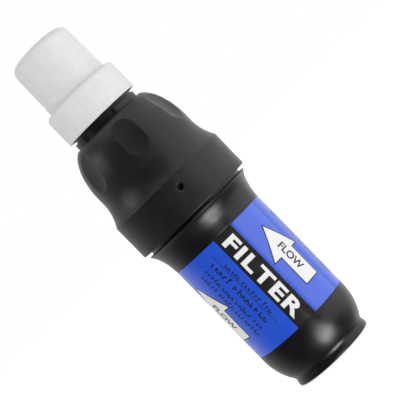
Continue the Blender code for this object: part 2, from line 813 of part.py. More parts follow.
hanks = hank_places()
housing = [
    make_barrel(),
    make_label(),
    make_gasket(),
    make_strainer(),
    make_head(),
    make_sleeve(),
    make_plug(hanks),
    make_o_ring("head_o_ring", HEAD_O_RING_MAJOR_R, HEAD_O_RING_Z),
    make_o_ring("cartridge_o_ring", CARTRIDGE_O_RING_MAJOR_R, CARTRIDGE_O_RING_Z),
]
for hank_number, (hank_middle, hank_across) in enumerate(hanks, start=1):
    housing.append(make_hank(hank_number, hank_middle, hank_across))
group("housing_group", 0.0, housing)
group("cap_group", CAP_BOTTOM_Z, [make_liner(), make_cap(), make_spout(), make_overcap()])
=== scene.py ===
"""Looks of the squeeze water filter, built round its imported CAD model.

Metres, +Z up, the same frame as the CAD. Outlines are (radius, height) points in millimetres
that run down a turned piece's outer side and up its inner side. A third number on a point
rounds that corner. Angles phi are measured from the front, -Y, towards +X.
"""

import math
import random

import bmesh
import bpy
import numpy as np
from mathutils import Matrix, Vector


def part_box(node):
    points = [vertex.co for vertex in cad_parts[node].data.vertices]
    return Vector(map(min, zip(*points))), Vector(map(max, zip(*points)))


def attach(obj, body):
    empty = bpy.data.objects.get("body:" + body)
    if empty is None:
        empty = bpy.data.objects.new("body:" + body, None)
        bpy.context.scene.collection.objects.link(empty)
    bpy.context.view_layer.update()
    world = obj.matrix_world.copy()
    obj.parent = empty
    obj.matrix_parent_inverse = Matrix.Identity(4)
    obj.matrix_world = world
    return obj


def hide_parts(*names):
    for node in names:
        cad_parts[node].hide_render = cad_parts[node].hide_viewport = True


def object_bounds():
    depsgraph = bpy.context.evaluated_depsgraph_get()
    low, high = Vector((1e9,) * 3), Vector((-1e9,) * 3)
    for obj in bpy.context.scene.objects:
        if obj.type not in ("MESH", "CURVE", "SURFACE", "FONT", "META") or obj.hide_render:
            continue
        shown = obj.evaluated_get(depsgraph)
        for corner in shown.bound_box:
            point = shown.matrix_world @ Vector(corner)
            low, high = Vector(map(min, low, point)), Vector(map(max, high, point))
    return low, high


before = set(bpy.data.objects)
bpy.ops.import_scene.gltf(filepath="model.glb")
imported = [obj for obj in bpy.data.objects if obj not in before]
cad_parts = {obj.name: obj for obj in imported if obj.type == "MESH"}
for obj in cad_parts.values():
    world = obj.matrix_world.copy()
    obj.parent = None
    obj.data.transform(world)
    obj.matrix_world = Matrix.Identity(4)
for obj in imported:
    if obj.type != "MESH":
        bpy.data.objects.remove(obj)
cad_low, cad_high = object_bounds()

MM = 0.001
AXIS_FACETS = 360
THREAD_PITCH = 3.18
THREAD_ROW = 0.16
CORNER_STEPS = 4
SHARP = math.radians(38)
VIEW_AZIMUTH = math.radians(-5.3)


def box_mm(node):
    """(lowest z, highest z, largest radius) of a CAD node, in millimetres."""
    low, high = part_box(node)
    return low.z / MM, high.z / MM, high.x / MM


BARREL_LOW, BARREL_TOP, FLANGE_R = box_mm("barrel")
HEAD_LOW, NECK_TOP, SKIRT_R = box_mm("outlet_head")
LABEL_LOW, LABEL_TOP, LABEL_R = box_mm("wrap_label")
CAP_LOW, POST_TOP, CAP_R = box_mm("screw_cap")
SPOUT_LOW, SPOUT_TOP, SPOUT_R = box_mm("pull_spout")
DOME_TOP = box_mm("overcap")[1]
GASKET_LOW, GASKET_TOP, GASKET_R = box_mm("inlet_gasket")
STRAINER_LOW, STRAINER_TOP, STRAINER_R = box_mm("inlet_strainer")
LINER_LOW, LINER_TOP, LINER_R = box_mm("cap_liner")

# Sizes that several pieces share
THREAD_HEIGHT = 0.8
NECK_THREAD = 119.9  # where the neck's thread starts
DECK = CAP_LOW + 12.3  # the screw cap's flat top, round its chimney
DECK_UNDERSIDE = DECK - 1.5


# Outlines


def smooth(points, steps):
    """A Catmull-Rom curve through the points, with this many steps from each to the next."""
    ends = [points[0], *points, points[-1]]
    curve = []
    for a, b, c, d in zip(*(np.array(ends[i : len(ends) - 3 + i], float) for i in range(4))):
        for t in np.arange(steps) / steps:
            square = (2 * a - 5 * b + 4 * c - d) * t**2
            cube = (3 * b - a - 3 * c + d) * t**3
            curve.append(tuple(b + 0.5 * ((c - a) * t + square + cube)))
    curve.append(tuple(points[-1]))
    return curve


def rounding(widest_r, level, size, end, steps):
    """An elliptical outline from where it is widest, at this level, to another height."""
    reach, rise = size
    angles = np.linspace(0, math.asin((end - level) / rise), steps + 1)
    return [(widest_r - reach * (1 - math.cos(a)), level + rise * math.sin(a)) for a in angles]


def rows(radius, start, end, spacing):
    """Points straight up or down a cylinder, close enough together to carry relief."""
    count = max(1, round(abs(end - start) / spacing))
    return [(radius, start + (end - start) * index / count) for index in range(count + 1)]


def rounded(corners):
    """The outline with its marked corners rounded, and a ring close to each side of a rounding."""
    outline = []
    befores = corners[-1:] + corners[:-1]
    afters = corners[1:] + corners[:1]
    for before, here, after in zip(befores, corners, afters):
        point = np.array(here[:2], float)
        if len(here) < 3:
            outline.append(point)
            continue
        back = np.array(before[:2]) - point
        ahead = np.array(after[:2]) - point
        reach = min(here[2], 0.4 * np.linalg.norm(back), 0.4 * np.linalg.norm(ahead))
        back *= reach / np.linalg.norm(back)
        ahead *= reach / np.linalg.norm(ahead)
        outline.append(point + 1.2 * back)
        for step in range(CORNER_STEPS + 1):
            t = step / CORNER_STEPS
            outline.append(point + (1 - t) ** 2 * back + t**2 * ahead)
        outline.append(point + 1.2 * ahead)
    return np.array(outline)


# Meshes


def new_object(name, mesh):
    obj = bpy.data.objects.new(name, mesh)
    bpy.context.scene.collection.objects.link(obj)
    return obj


def tidy_mesh(mesh):
    """Merges points that fell together, drops faces with no area and smooths the shading."""
    work = bmesh.new()
    work.from_mesh(mesh)
    bmesh.ops.remove_doubles(work, verts=work.verts, dist=0.0005 * MM)
    bmesh.ops.dissolve_degenerate(work, edges=work.edges, dist=0.0005 * MM)
    work.to_mesh(mesh)
    work.free()
    mesh.shade_smooth()
    mesh.set_sharp_from_angle(angle=SHARP)


def spun(name, corners, facets=AXIS_FACETS, relief=None):
    """A closed piece turned about Z.

    relief(radius, height, phi), if given, returns the radius with any relief on it.
    """
    outline = rounded(corners)
    phi = 2 * np.pi * np.arange(facets) / facets
    radius = np.repeat(outline[:, :1], facets, axis=1)
    height = np.repeat(outline[:, 1:], facets, axis=1)
    if relief:
        radius = relief(radius, height, phi[None, :])
    points = np.stack([radius * np.sin(phi), -radius * np.cos(phi), height], axis=2) * MM
    count = len(outline)
    faces = []
    last = count if corners[0][0] > 0 else count - 1
    for row in range(last):
        here = row * facets
        below = (row + 1) % count * facets
        for column in range(facets):
            beside = (column + 1) % facets
            faces.append((here + column, below + column, below + beside, here + beside))
    mesh = bpy.data.meshes.new(name)
    mesh.from_pydata(points.reshape(-1, 3).tolist(), [], faces)
    tidy_mesh(mesh)
    return new_object(name, mesh)


def cut(obj, tool):
    """Cuts the tool's shape out of obj, and removes the tool."""
    modifier = obj.modifiers.new("Cut", "BOOLEAN")
    modifier.object = tool
    bake(obj)
    bpy.data.objects.remove(tool, do_unlink=True)


def bake(obj):
    """Applies the object's modifiers."""
    graph = bpy.context.evaluated_depsgraph_get()
    mesh = bpy.data.meshes.new_from_object(obj.evaluated_get(graph))
    obj.modifiers.clear()
    obj.data = mesh
    mesh.name = obj.name
    tidy_mesh(mesh)


def place(obj, material, body, slot, *nodes):
    """Gives the piece its material, ties it to its CAD body and hides the CAD nodes it stands for.
    The slot is not used.
    """
    obj.data.materials.clear()
    obj.data.materials.append(material)
    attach(obj, body)
    if nodes:
        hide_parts(*nodes)
    return obj


def step_up(value, start, end):
    """0 up to start, 1 from end, and a smooth rise between them."""
    t = np.clip((value - start) / (end - start), 0, 1)
    return t * t * (3 - 2 * t)


# Threads


def thread_ridge(height, phi, start, turns, half_width=0.75, flank=0.42):
    """How far up a right-handed screw ridge each point is, from 0 on the wall to 1 on the crest."""
    first_turn = np.mod(phi - np.pi / 2, 2 * np.pi) / (2 * np.pi)
    ridge = np.zeros_like(height)
    for turn in range(math.ceil(turns) + 1):
        along = first_turn + turn
        off = np.abs(height - start - THREAD_PITCH * along)
        side = step_up(half_width - off, 0, flank)
        taper = step_up(np.minimum(along, turns - along), 0, 0.14)
        ridge = np.maximum(ridge, side * taper)
    return ridge


# Barrel

SPIGOT_R = 21.0
SPIGOT_BORE_R = 18.2
SPIGOT_HEIGHT = 16.6
O_RING_GROOVE_R = 19.45
O_RING_GROOVE_LOW, O_RING_GROOVE_HIGH = 82.65, 84.75
FLANGE_Z = BARREL_TOP - SPIGOT_HEIGHT
FLARE = [(22.22, 68.75), (21.62, 67.8), (20.95, 66.3), (20.42, 64.6), (20.05, 63.1), (19.82, 61.4)]
FLARE_END = 59.8
RECESS_DEPTH = 0.25
RECESS_MARGIN = 0.4  # how far the recess runs past the label's CAD box at each end
DOME_LEVEL = 16.0
DOME_SIZE = (11.7, 17.0)
DOME_END = 4.2
LIP_NECK = [(16.02, 3.72), (15.86, 3.2), (15.78, 2.75), (15.8, 2.4), (15.93, 1.9), (16.03, 1.4)]
LIP_R = 16.06
RIM_R = 15.4
SOCKET_MOUTH_R = 14.2
SOCKET_R = 13.9
SOCKET_THREAD = 1.6  # where the socket's thread starts
SOCKET_THREAD_TOP = 9.3
SOCKET_THREAD_HEIGHT = 0.75
SOCKET_TURNS = 2.0
SOCKET_TOP = 11.5
INLET_R = 10.0
INLET_TOP = 13.5
BARREL_BORE_R = 17.2
BARREL_BORE_TOP = 66.6


def socket_relief(radius, height, phi):
    """The thread in the inlet socket."""
    in_socket = (np.abs(radius - SOCKET_R) < 0.01) & (height < SOCKET_THREAD_TOP)
    thread = thread_ridge(height, phi, SOCKET_THREAD, SOCKET_TURNS)
    return radius - SOCKET_THREAD_HEIGHT * in_socket * thread


def make_barrel():
    """Spigot with its O-ring groove, flange, flare, label recess, domed end and inlet socket."""
    corners = [(SPIGOT_BORE_R, BARREL_TOP, 0.3), (SPIGOT_R, BARREL_TOP, 0.5)]
    corners += [(SPIGOT_R, O_RING_GROOVE_HIGH), (O_RING_GROOVE_R, O_RING_GROOVE_HIGH)]
    corners += [(O_RING_GROOVE_R, O_RING_GROOVE_LOW), (SPIGOT_R, O_RING_GROOVE_LOW)]
    corners += [(SPIGOT_R, FLANGE_Z, 0.4), (FLANGE_R, FLANGE_Z, 0.14)]
    flare_top = (FLANGE_R - 0.06, FLANGE_Z - 0.3)
    corners += smooth([flare_top, *FLARE, (LABEL_R + 0.08, FLARE_END)], 5)
    recess_r = LABEL_R - RECESS_DEPTH
    low, high = LABEL_LOW - RECESS_MARGIN, LABEL_TOP + RECESS_MARGIN
    corners += [(LABEL_R, high, 0.08), (recess_r, high), (recess_r, low), (LABEL_R, low, 0.08)]
    corners += rounding(LABEL_R, DOME_LEVEL, DOME_SIZE, DOME_END, 24)
    corners += smooth([*LIP_NECK, (LIP_R, 0.95)], 4)
    corners += [(LIP_R, 0.35, 0.35), (RIM_R, BARREL_LOW, 0.25)]
    corners += [(SOCKET_MOUTH_R, BARREL_LOW, 0.2), (SOCKET_R, 0.5, 0.2)]
    corners += rows(SOCKET_R, 0.9, 9.2, THREAD_ROW)
    corners += [(SOCKET_R, SOCKET_TOP, 0.3), (INLET_R, SOCKET_TOP, 0.3), (INLET_R, INLET_TOP, 0.3)]
    corners += [(BARREL_BORE_R, INLET_TOP, 0.6), (BARREL_BORE_R, BARREL_BORE_TOP)]
    corners += [(SPIGOT_BORE_R, FLANGE_Z)]
    return spun("barrel_shell", corners, relief=socket_relief)


GASKET_BORE_R = 9.4
LINER_BORE_R = 9.6


def washer(name, inner_r, outer_r, low, high, corner):
    """A flat ring with its corners rounded this much."""
    corners = [(inner_r, high, corner), (outer_r, high, corner)]
    corners += [(outer_r, low, corner), (inner_r, low, corner)]
    return spun(name, corners, 160)


STRAINER_HOLE_R = 2.1
STRAINER_HOLE_RING_R = 6.2


def make_strainer():
    """The perforated disc behind the inlet, with a hole in the middle and six round it."""
    corners = [(0.0, STRAINER_TOP), (STRAINER_R, STRAINER_TOP, 0.2)]
    corners += [(STRAINER_R, STRAINER_LOW, 0.2), (0.0, STRAINER_LOW)]
    disc = spun("inlet_screen", corners, 120)
    holes = bmesh.new()
    middle = (STRAINER_LOW + STRAINER_TOP) / 2
    hole_r = STRAINER_HOLE_R * MM
    for index in range(7):
        reach = STRAINER_HOLE_RING_R if index else 0.0
        turn = Matrix.Rotation(math.radians(60 * index), 4, "Z")
        where = turn @ Matrix.Translation(Vector((0, -reach, middle)) * MM)
        bmesh.ops.create_cone(
            holes,
            cap_ends=True,
            segments=40,
            radius1=hole_r,
            radius2=hole_r,
            depth=5 * MM,
            matrix=where,
        )
    mesh = bpy.data.meshes.new("screen_holes")
    holes.to_mesh(mesh)
    holes.free()
    cut(disc, new_object("screen_holes", mesh))
    return disc


# Head

NECK_R = 12.93
NECK_BORE_R = 10.4
NECK_BORE_LOW = 111.5
NECK_TURNS = 1.5
SHOULDER = 113.7
SHOULDER_SIZE = (8.8, 17.5)
WAIST_R = 21.4
WAIST_LOW, WAIST_HIGH = 94.2, 97.0
SKIRT_TOP = 85.0
SKIRT_BORE_R = 21.6
SKIRT_BORE_TOP = 86.6
HEAD_BORE_R = 17.3
HEAD_ROOF = 106.5
DIMPLE_MIDDLE = 104.5
DIMPLE_FLOOR = 95.0  # lower than any dimple
DIMPLE_HALF_WIDTH = 4.3
DIMPLE_HALF_HEIGHT = 7.2
DIMPLE_EDGE = 0.05
DIMPLE_DEPTH = 0.74
DIMPLES = 6
LUG_R = 14.1
LUG_TOP = 116.0
LUG_GAP_MIDDLE = math.radians(-18.8)
LUG_GAP_HALF = math.radians(31.5)
HOLE_Z = 80.3
HOLE_R = 1.05


def dimple_depth(radius, height, phi):
    """Six shallow finger scoops with a clear edge, round the shoulder."""
    pitch = 2 * np.pi / DIMPLES
    turn = np.mod(phi + pitch / 2, pitch) - pitch / 2
    across = radius * np.sin(turn)
    up = np.maximum(np.abs(height - DIMPLE_MIDDLE) - (DIMPLE_HALF_HEIGHT - DIMPLE_HALF_WIDTH), 0)
    inside = DIMPLE_HALF_WIDTH - np.hypot(across, up)
    edge = DIMPLE_EDGE * step_up(inside, -0.05, 0.2)
    slope = 1 - np.clip(inside / DIMPLE_HALF_WIDTH, 0, 1)
    return edge + DIMPLE_DEPTH * (1 - slope**2)


def lug_share(phi):
    """1 on a lug and 0 in the gap between two lugs."""
    pitch = 2 * np.pi / 3
    turn = np.mod(phi - LUG_GAP_MIDDLE + pitch / 2, pitch) - pitch / 2
    return step_up(np.abs(turn), LUG_GAP_HALF - 0.05, LUG_GAP_HALF + 0.03)


def head_relief(radius, height, phi):
    """The neck's thread, the gaps between the lugs, and the dimples."""
    on_neck = (radius < LUG_R + 0.1) & (radius > NECK_R - 0.01)
    thread = THREAD_HEIGHT * thread_ridge(height, phi, NECK_THREAD, NECK_TURNS)
    threaded = on_neck & (height > LUG_TOP + 2)
    radius = radius + np.where(threaded, thread, 0)
    lugs = on_neck & (height < LUG_TOP + 1) & (height > SHOULDER - 0.1)
    radius = np.where(lugs, NECK_R + (radius - NECK_R) * lug_share(phi), radius)
    shoulder = (radius > LUG_R + 0.3) & (height > DIMPLE_FLOOR)
    return radius - np.where(shoulder, dimple_depth(radius, height, phi), 0)


def make_hole_tool():
    """A drilled hole with a small dished ring round its mouth, lying along Y."""
    outside, inside = SKIRT_R + 1.0, 21.0
    corners = [(0.0, outside), (1.9, outside), (1.75, SKIRT_R - 0.05), (1.15, SKIRT_R - 0.5)]
    corners += [(HOLE_R, SKIRT_R - 0.6), (HOLE_R, inside), (0.0, inside)]
    tool = spun("hole_tool", corners, 48)
    lie_down = Matrix.Rotation(math.radians(90), 4, "X")
    tool.data.transform(Matrix.Translation((0, 0, HOLE_Z * MM)) @ lie_down)
    return tool


def make_head():
    """Neck, three lugs, dimpled shoulder, waist and skirt, with the bore for the cartridge."""
    corners = [(NECK_BORE_R, NECK_TOP, 0.3), (NECK_R, NECK_TOP, 0.4)]
    corners += rows(NECK_R, NECK_TOP - 0.8, NECK_THREAD - 1.2, THREAD_ROW)
    corners += [(NECK_R, LUG_TOP, 0.15), (LUG_R, LUG_TOP, 0.3), (LUG_R, SHOULDER, 0.15)]
    shoulder = rounding(WAIST_R, WAIST_HIGH, SHOULDER_SIZE, SHOULDER, 70)[::-1]
    corners += [(*shoulder[0], 0.5)] + shoulder[3:]
    for down in np.linspace(0, 1, 25)[:-1]:
        radius = WAIST_R + (SKIRT_R - WAIST_R) * down**2
        corners.append((radius, WAIST_LOW + (SKIRT_TOP - WAIST_LOW) * down))
    corners += [(SKIRT_R, SKIRT_TOP, 0.5)]
    corners += rows(SKIRT_R, 83.6, 77.0, 0.6)  # round the hole
    corners += [(SKIRT_R, HEAD_LOW, 0.35), (SKIRT_BORE_R, HEAD_LOW, 0.2)]
    corners += [(SKIRT_BORE_R, SKIRT_BORE_TOP, 0.4), (HEAD_BORE_R, SKIRT_BORE_TOP, 0.3)]
    corners += [(HEAD_BORE_R, HEAD_ROOF, 0.8), (NECK_BORE_R, NECK_BORE_LOW, 0.8)]
    head = spun("head_shell", corners, relief=head_relief)
    cut(head, make_hole_tool())
    return head


# Screw cap, spout and dust cap

RIBS = 100
RIB_DEPTH = 0.15
RIBBED_R = 14.9  # the ribs are outside this
RIB_FADE = (DECK - 2.7, DECK - 1.6)  # and fade out between these heights
CAP_BORE_R = 14.15
CAP_THREAD = NECK_THREAD - THREAD_PITCH / 2
CAP_THREAD_TOP = 124.0
CAP_TURNS = 1.25
CAP_SHOULDER = [(13.4, 0.0), (14.25, 0.25), (14.9, 0.7), (15.28, 1.3)]  # radius, depth below deck
SNAP_RING_R = 11.25
SNAP_RING_BORE_R = 10.55
SNAP_RING_HEIGHT = 2.3
CHIMNEY_R = 6.9
CHIMNEY_BORE_R = 5.5
CHIMNEY_TOP = 138.2
POST_R = 1.7
POST_TIP_R = 1.2
SPOKES = 3
SPOKE_SIZE = (1.8, 5.6, DECK - DECK_UNDERSIDE)
SPOKE_MIDDLE = (0, -3.0, (DECK_UNDERSIDE + DECK) / 2)


def cap_relief(radius, height, phi):
    """The grip ribs outside and the thread inside."""
    groove = 0.5 - 0.5 * np.cos(RIBS * phi)
    fade = 1 - step_up(height, *RIB_FADE)
    radius = radius - np.where(radius > RIBBED_R, RIB_DEPTH * groove**0.8 * fade, 0)
    bore = (np.abs(radius - CAP_BORE_R) < 0.01) & (height < CAP_THREAD_TOP + 0.5)
    thread = THREAD_HEIGHT * thread_ridge(height, phi, CAP_THREAD, CAP_TURNS)
    return radius - np.where(bore, thread, 0)


def make_cap():
    """Chimney, snap ring, deck, ribbed skirt and threaded bore."""
    ring_top = DECK + SNAP_RING_HEIGHT
    corners = [(CHIMNEY_BORE_R, CHIMNEY_TOP, 0.2), (CHIMNEY_R, CHIMNEY_TOP, 0.35)]
    corners += [(CHIMNEY_R, DECK, 0.3), (SNAP_RING_BORE_R, DECK, 0.2)]
    corners += [(SNAP_RING_BORE_R, ring_top, 0.25), (SNAP_RING_R, ring_top, 0.3)]
    corners += [(SNAP_RING_R, DECK, 0.15)]
    shoulder = [(radius, DECK - down) for radius, down in CAP_SHOULDER]
    corners += smooth([*shoulder, (CAP_R, DECK - 2.1)], 5)
    corners += [(CAP_R, CAP_LOW + 0.9), (CAP_R, CAP_LOW, 0.3), (CAP_BORE_R, CAP_LOW, 0.3)]
    corners += rows(CAP_BORE_R, CAP_LOW + 0.5, CAP_THREAD_TOP, THREAD_ROW)
    corners += [(CAP_BORE_R, DECK_UNDERSIDE, 0.3), (CHIMNEY_BORE_R, DECK_UNDERSIDE, 0.3)]
    return spun("cap_shell", corners, 6 * RIBS, cap_relief)


def make_spoke(index):
    """One of the bars that run out from the post to the chimney."""
    shape = bmesh.new()
    bmesh.ops.create_cube(shape, size=1.0)
    bmesh.ops.scale(shape, verts=shape.verts, vec=Vector(SPOKE_SIZE) * MM)
    bmesh.ops.bevel(shape, geom=shape.edges, offset=0.15 * MM, segments=2, affect="EDGES")
    where = Matrix.Rotation(math.radians(360 / SPOKES * index), 4, "Z")
    where @= Matrix.Translation(Vector(SPOKE_MIDDLE) * MM)
    bmesh.ops.transform(shape, matrix=where, verts=shape.verts)
    mesh = bpy.data.meshes.new("spoke")
    shape.to_mesh(mesh)
    shape.free()
    return new_object("spoke", mesh)


def make_post():
    """The plug post inside the chimney, and the three spokes that hold it."""
    corners = [(0.0, POST_TOP), (POST_TIP_R, POST_TOP, 0.3), (POST_R, POST_TOP - 0.8, 0.4)]
    corners += [(POST_R, DECK_UNDERSIDE, 0.1), (0.0, DECK_UNDERSIDE)]
    post = spun("cap_post", corners, 48)
    for index in range(SPOKES):
        spoke = make_spoke(index)
        union = post.modifiers.new("Join", "BOOLEAN")
        union.operation = "UNION"
        union.object = spoke
        bake(post)
        bpy.data.objects.remove(spoke, do_unlink=True)
    return post


SPOUT_HOLE_R = 2.1
SPOUT_LIP_R = 7.6
SPOUT_BODY_R = 9.0
SPOUT_BORE_R = 7.25
SPOUT_LEDGE = 138.6
SPOUT_PASSAGE_R = 4.6
SPOUT_TIP = SPOUT_TOP - 1.5  # the underside of the spout's end wall


def make_spout():
    """Lip, waist and body, with a bore that slides on the chimney and a hole the post closes."""
    corners = [(SPOUT_HOLE_R, SPOUT_TOP, 0.25), (6.6, SPOUT_TOP, 0.7)]
    corners += [(SPOUT_LIP_R, SPOUT_TOP - 0.9, 0.5), (SPOUT_LIP_R, SPOUT_TOP - 1.9, 0.4)]
    throat = [(6.9, SPOUT_TOP - 2.6), (6.35, SPOUT_TOP - 3.4), (6.35, 139.8), (6.9, 138.8)]
    corners += smooth(throat, 4)
    corners += smooth([(8.0, 137.9), (8.7, 137.1), (SPOUT_BODY_R, 135.8)], 4)
    corners += [(SPOUT_BODY_R, SPOUT_LOW + 1.6, 0.3), (SPOUT_R, SPOUT_LOW + 1.2, 0.3)]
    corners += [(SPOUT_R, SPOUT_LOW, 0.3), (SPOUT_BORE_R, SPOUT_LOW, 0.2)]
    corners += [(SPOUT_BORE_R, SPOUT_LEDGE, 0.3), (SPOUT_PASSAGE_R, SPOUT_LEDGE, 0.3)]
    corners += [(SPOUT_PASSAGE_R, SPOUT_TIP, 0.4), (SPOUT_HOLE_R, SPOUT_TIP, 0.2)]
    return spun("spout_shell", corners, 144)


RIM_GAP = 0.03  # between the dust cap's rim and the deck


def make_overcap():
    """A domed cup with a soft bead and a faint groove near its foot."""
    low, top = DECK + RIM_GAP, DOME_TOP
    crown = [(0.0, top), (3.0, top - 0.05), (6.4, top - 0.35), (9.2, top - 0.8), (10.75, top - 1.4)]
    crown += [(11.65, top - 2.1), (12.13, top - 2.9), (12.36, top - 3.9), (12.46, top - 5.5)]
    bead = [(12.6, low + 4.5), (12.53, low + 4.1), (12.5, low + 3.75), (12.6, low + 3.3)]
    bead += [(12.74, low + 2.85), (12.79, low + 2.3), (12.76, low + 1.6)]
    snap = [(11.62, low + 1.8), (11.52, low + 2.4), (11.62, low + 3.0)]
    under = [(11.28, top - 5.2), (11.0, top - 3.6), (10.2, top - 2.6), (8.5, top - 1.9)]
    under += [(4.4, top - 1.25), (0.0, top - 1.1)]
    corners = smooth(crown, 4)
    corners += [(12.57, low + 10.4), (12.63, low + 5.2)]
    corners += smooth(bead, 3)
    corners += [(12.72, low + 1.1), (12.76, low, 0.12), (11.65, low, 0.3)]
    corners += smooth(snap, 3)
    corners += [(11.4, low + 10.4)]
    corners += smooth(under, 4)
    return spun("dust_cap", corners, 192)


# Printed label: the film, and the print laid on it as thin solids.
# A flat print is drawn with x along the barrel's curve, to the right, and y up.

STRIPE_LEFT = math.radians(-12.8)
STRIPE_RIGHT = math.radians(11.1)
SEAM = math.radians(158)
INK = 0.03
FILM = 0.2
# How far outside the label's CAD radius the film's face is, and each layer of print over it
FILM_FACE = 0.01
ON_FILM = 0.012
ON_EDGE = 0.05
ON_ARROW = 0.075
FILM_END = 0.3  # how far the film runs past its CAD box at each end
SEAM_GAP = 0.12
ARROWS = (36.3, -74.8, 147.0)  # degrees round the barrel
ARROW_EDGE = 0.42
LINE_PITCH = 6.4  # degrees between lines of small print
FINE_LINE = (1.5, 0.24)  # letter height and stroke width
PRINT_STEP = math.radians(1.5)


def make_film():
    """One turn of film with a butt seam at the back. Its faces break at the front stripe's edges, so
    the stripe can take a second material.
    """
    start = SEAM + SEAM_GAP / LABEL_R - 2 * math.pi
    breaks = [start, STRIPE_LEFT, STRIPE_RIGHT, SEAM]
    phi = []
    for left, right in zip(breaks, breaks[1:]):
        count = math.ceil((right - left) / math.radians(1))
        phi += list(np.linspace(left, right, count, endpoint=False))
    phi.append(SEAM)
    section = []
    for height in np.linspace(LABEL_TOP + FILM_END, LABEL_LOW - FILM_END, 9):
        section.append((LABEL_R + FILM_FACE, height))
    section += [(radius - FILM, height) for radius, height in reversed(section)]
    count = len(section)
    points = []
    for angle in phi:
        points += [Vector((r * math.sin(angle), -r * math.cos(angle), h)) * MM for r, h in section]
    faces = [tuple(range(count)), tuple(range((len(phi) - 1) * count, len(phi) * count))[::-1]]
    for column in range(len(phi) - 1):
        for row in range(count):
            after = (row + 1) % count
            left, right = column * count, (column + 1) * count
            faces.append((left + row, left + after, right + after, right + row))
    mesh = bpy.data.meshes.new("label_film")
    mesh.from_pydata(points, [], faces)
    mesh.shade_smooth()
    mesh.set_sharp_from_angle(angle=SHARP)
    return new_object("label_film", mesh)


def paint_stripe(film, ink):
    """The faces of the front stripe take the ink in place of the film's blue."""
    film.data.materials.append(ink)
    for face in film.data.polygons:
        angle = math.atan2(face.center.x, -face.center.y)
        if STRIPE_LEFT < angle < STRIPE_RIGHT:
            face.material_index = 1


def wrapped(name, flat, lift, material):
    """A flat solid print, in millimetres with its underside at z = 0, bent round the barrel."""
    work = bmesh.new()
    work.from_mesh(flat)
    xs = [vertex.co.x for vertex in work.verts]
    step = PRINT_STEP * LABEL_R
    cut_at = math.floor(min(xs) / step) * step
    while cut_at < max(xs):
        geometry = work.verts[:] + work.edges[:] + work.faces[:]
        bmesh.ops.bisect_plane(work, geom=geometry, plane_co=(cut_at, 0, 0), plane_no=(1, 0, 0))
        cut_at += step
    for vertex in work.verts:
        phi = vertex.co.x / LABEL_R
        radius = LABEL_R + lift + vertex.co.z
        vertex.co = Vector((radius * math.sin(phi), -radius * math.cos(phi), vertex.co.y)) * MM
    mesh = bpy.data.meshes.new(name)
    work.to_mesh(mesh)
    work.free()
    mesh.shade_smooth()
    mesh.set_sharp_from_angle(angle=SHARP)
    return place(new_object(name, mesh), material, "filter_body", "label_film")


def flat_outline(points, thickness=INK):
    """A flat solid from an outline drawn anticlockwise."""
    shape = bmesh.new()
    base = shape.faces.new([shape.verts.new((x, y, 0)) for x, y in points])
    grown = bmesh.ops.extrude_face_region(shape, geom=[base])
    for item in grown["geom"]:
        if isinstance(item, bmesh.types.BMVert):
            item.co.z += thickness
    bmesh.ops.recalc_face_normals(shape, faces=shape.faces)
    mesh = bpy.data.meshes.new("flat")
    shape.to_mesh(mesh)
    shape.free()
    return mesh


def arrow_outline(middle, grow):
    """A broad arrow that points up the barrel, grown by this much all round."""
    tip, barb, foot = 50.7, 38.9, 26.3
    head_half, shaft_half = 6.8, 3.45
    lean = math.hypot(head_half, tip - barb)
    tip_grow = grow * lean / head_half
    barb_grow = grow * (lean + head_half) / (tip - barb)
    right = [(0, tip + tip_grow), (head_half + barb_grow, barb - grow)]
    right += [(shaft_half + grow, barb - grow), (shaft_half + grow, foot - grow)]
    left = [(-x, y) for x, y in reversed(right) if x > 0]
    return [(middle + x, y) for x, y in right[::-1] + left[::-1]]


def lettering(text, middle, centre_height, tall, long, bold=0.0, spacing=1.0):
    """Plain letters that read down the barrel, scaled to this cap height and length."""
    curve = bpy.data.curves.new("letters", "FONT")
    curve.body = text
    curve.extrude = 0.5
    curve.offset = bold
    curve.space_character = spacing
    curve.resolution_u = 6
    obj = new_object("letters", curve)
    graph = bpy.context.evaluated_depsgraph_get()
    mesh = bpy.data.meshes.new_from_object(obj.evaluated_get(graph))
    bpy.data.objects.remove(obj, do_unlink=True)
    low = np.min([vertex.co for vertex in mesh.vertices], axis=0)
    high = np.max([vertex.co for vertex in mesh.vertices], axis=0)
    for vertex in mesh.vertices:
        share = (np.array(vertex.co) - low) / (high - low)
        x = middle + tall * (share[1] - 0.5)
        y = centre_height - long * (share[0] - 0.5)
        vertex.co = (x, y, INK * share[2])
    work = bmesh.new()
    work.from_mesh(mesh)
    bmesh.ops.remove_doubles(work, verts=work.verts, dist=0.001)
    bmesh.ops.recalc_face_normals(work, faces=work.faces)
    work.to_mesh(mesh)
    work.free()
    return mesh


def arc(phi_degrees):
    """How far round the barrel an angle is, in millimetres."""
    return math.radians(phi_degrees) * LABEL_R


def make_arrow(number, phi_degrees, white, dark):
    """A white arrow with a dark edge, and the word that reads down it."""
    middle = arc(phi_degrees)
    edge = flat_outline(arrow_outline(middle, ARROW_EDGE))
    wrapped(f"arrow_{number}_edge", edge, ON_FILM, dark)
    wrapped(f"arrow_{number}_face", flat_outline(arrow_outline(middle, 0.0), 0.02), ON_EDGE, white)
    word = lettering("FLOW", middle, 36.8, tall=3.3, long=11.3, bold=0.02)
    wrapped(f"arrow_{number}_word", word, ON_ARROW, dark)


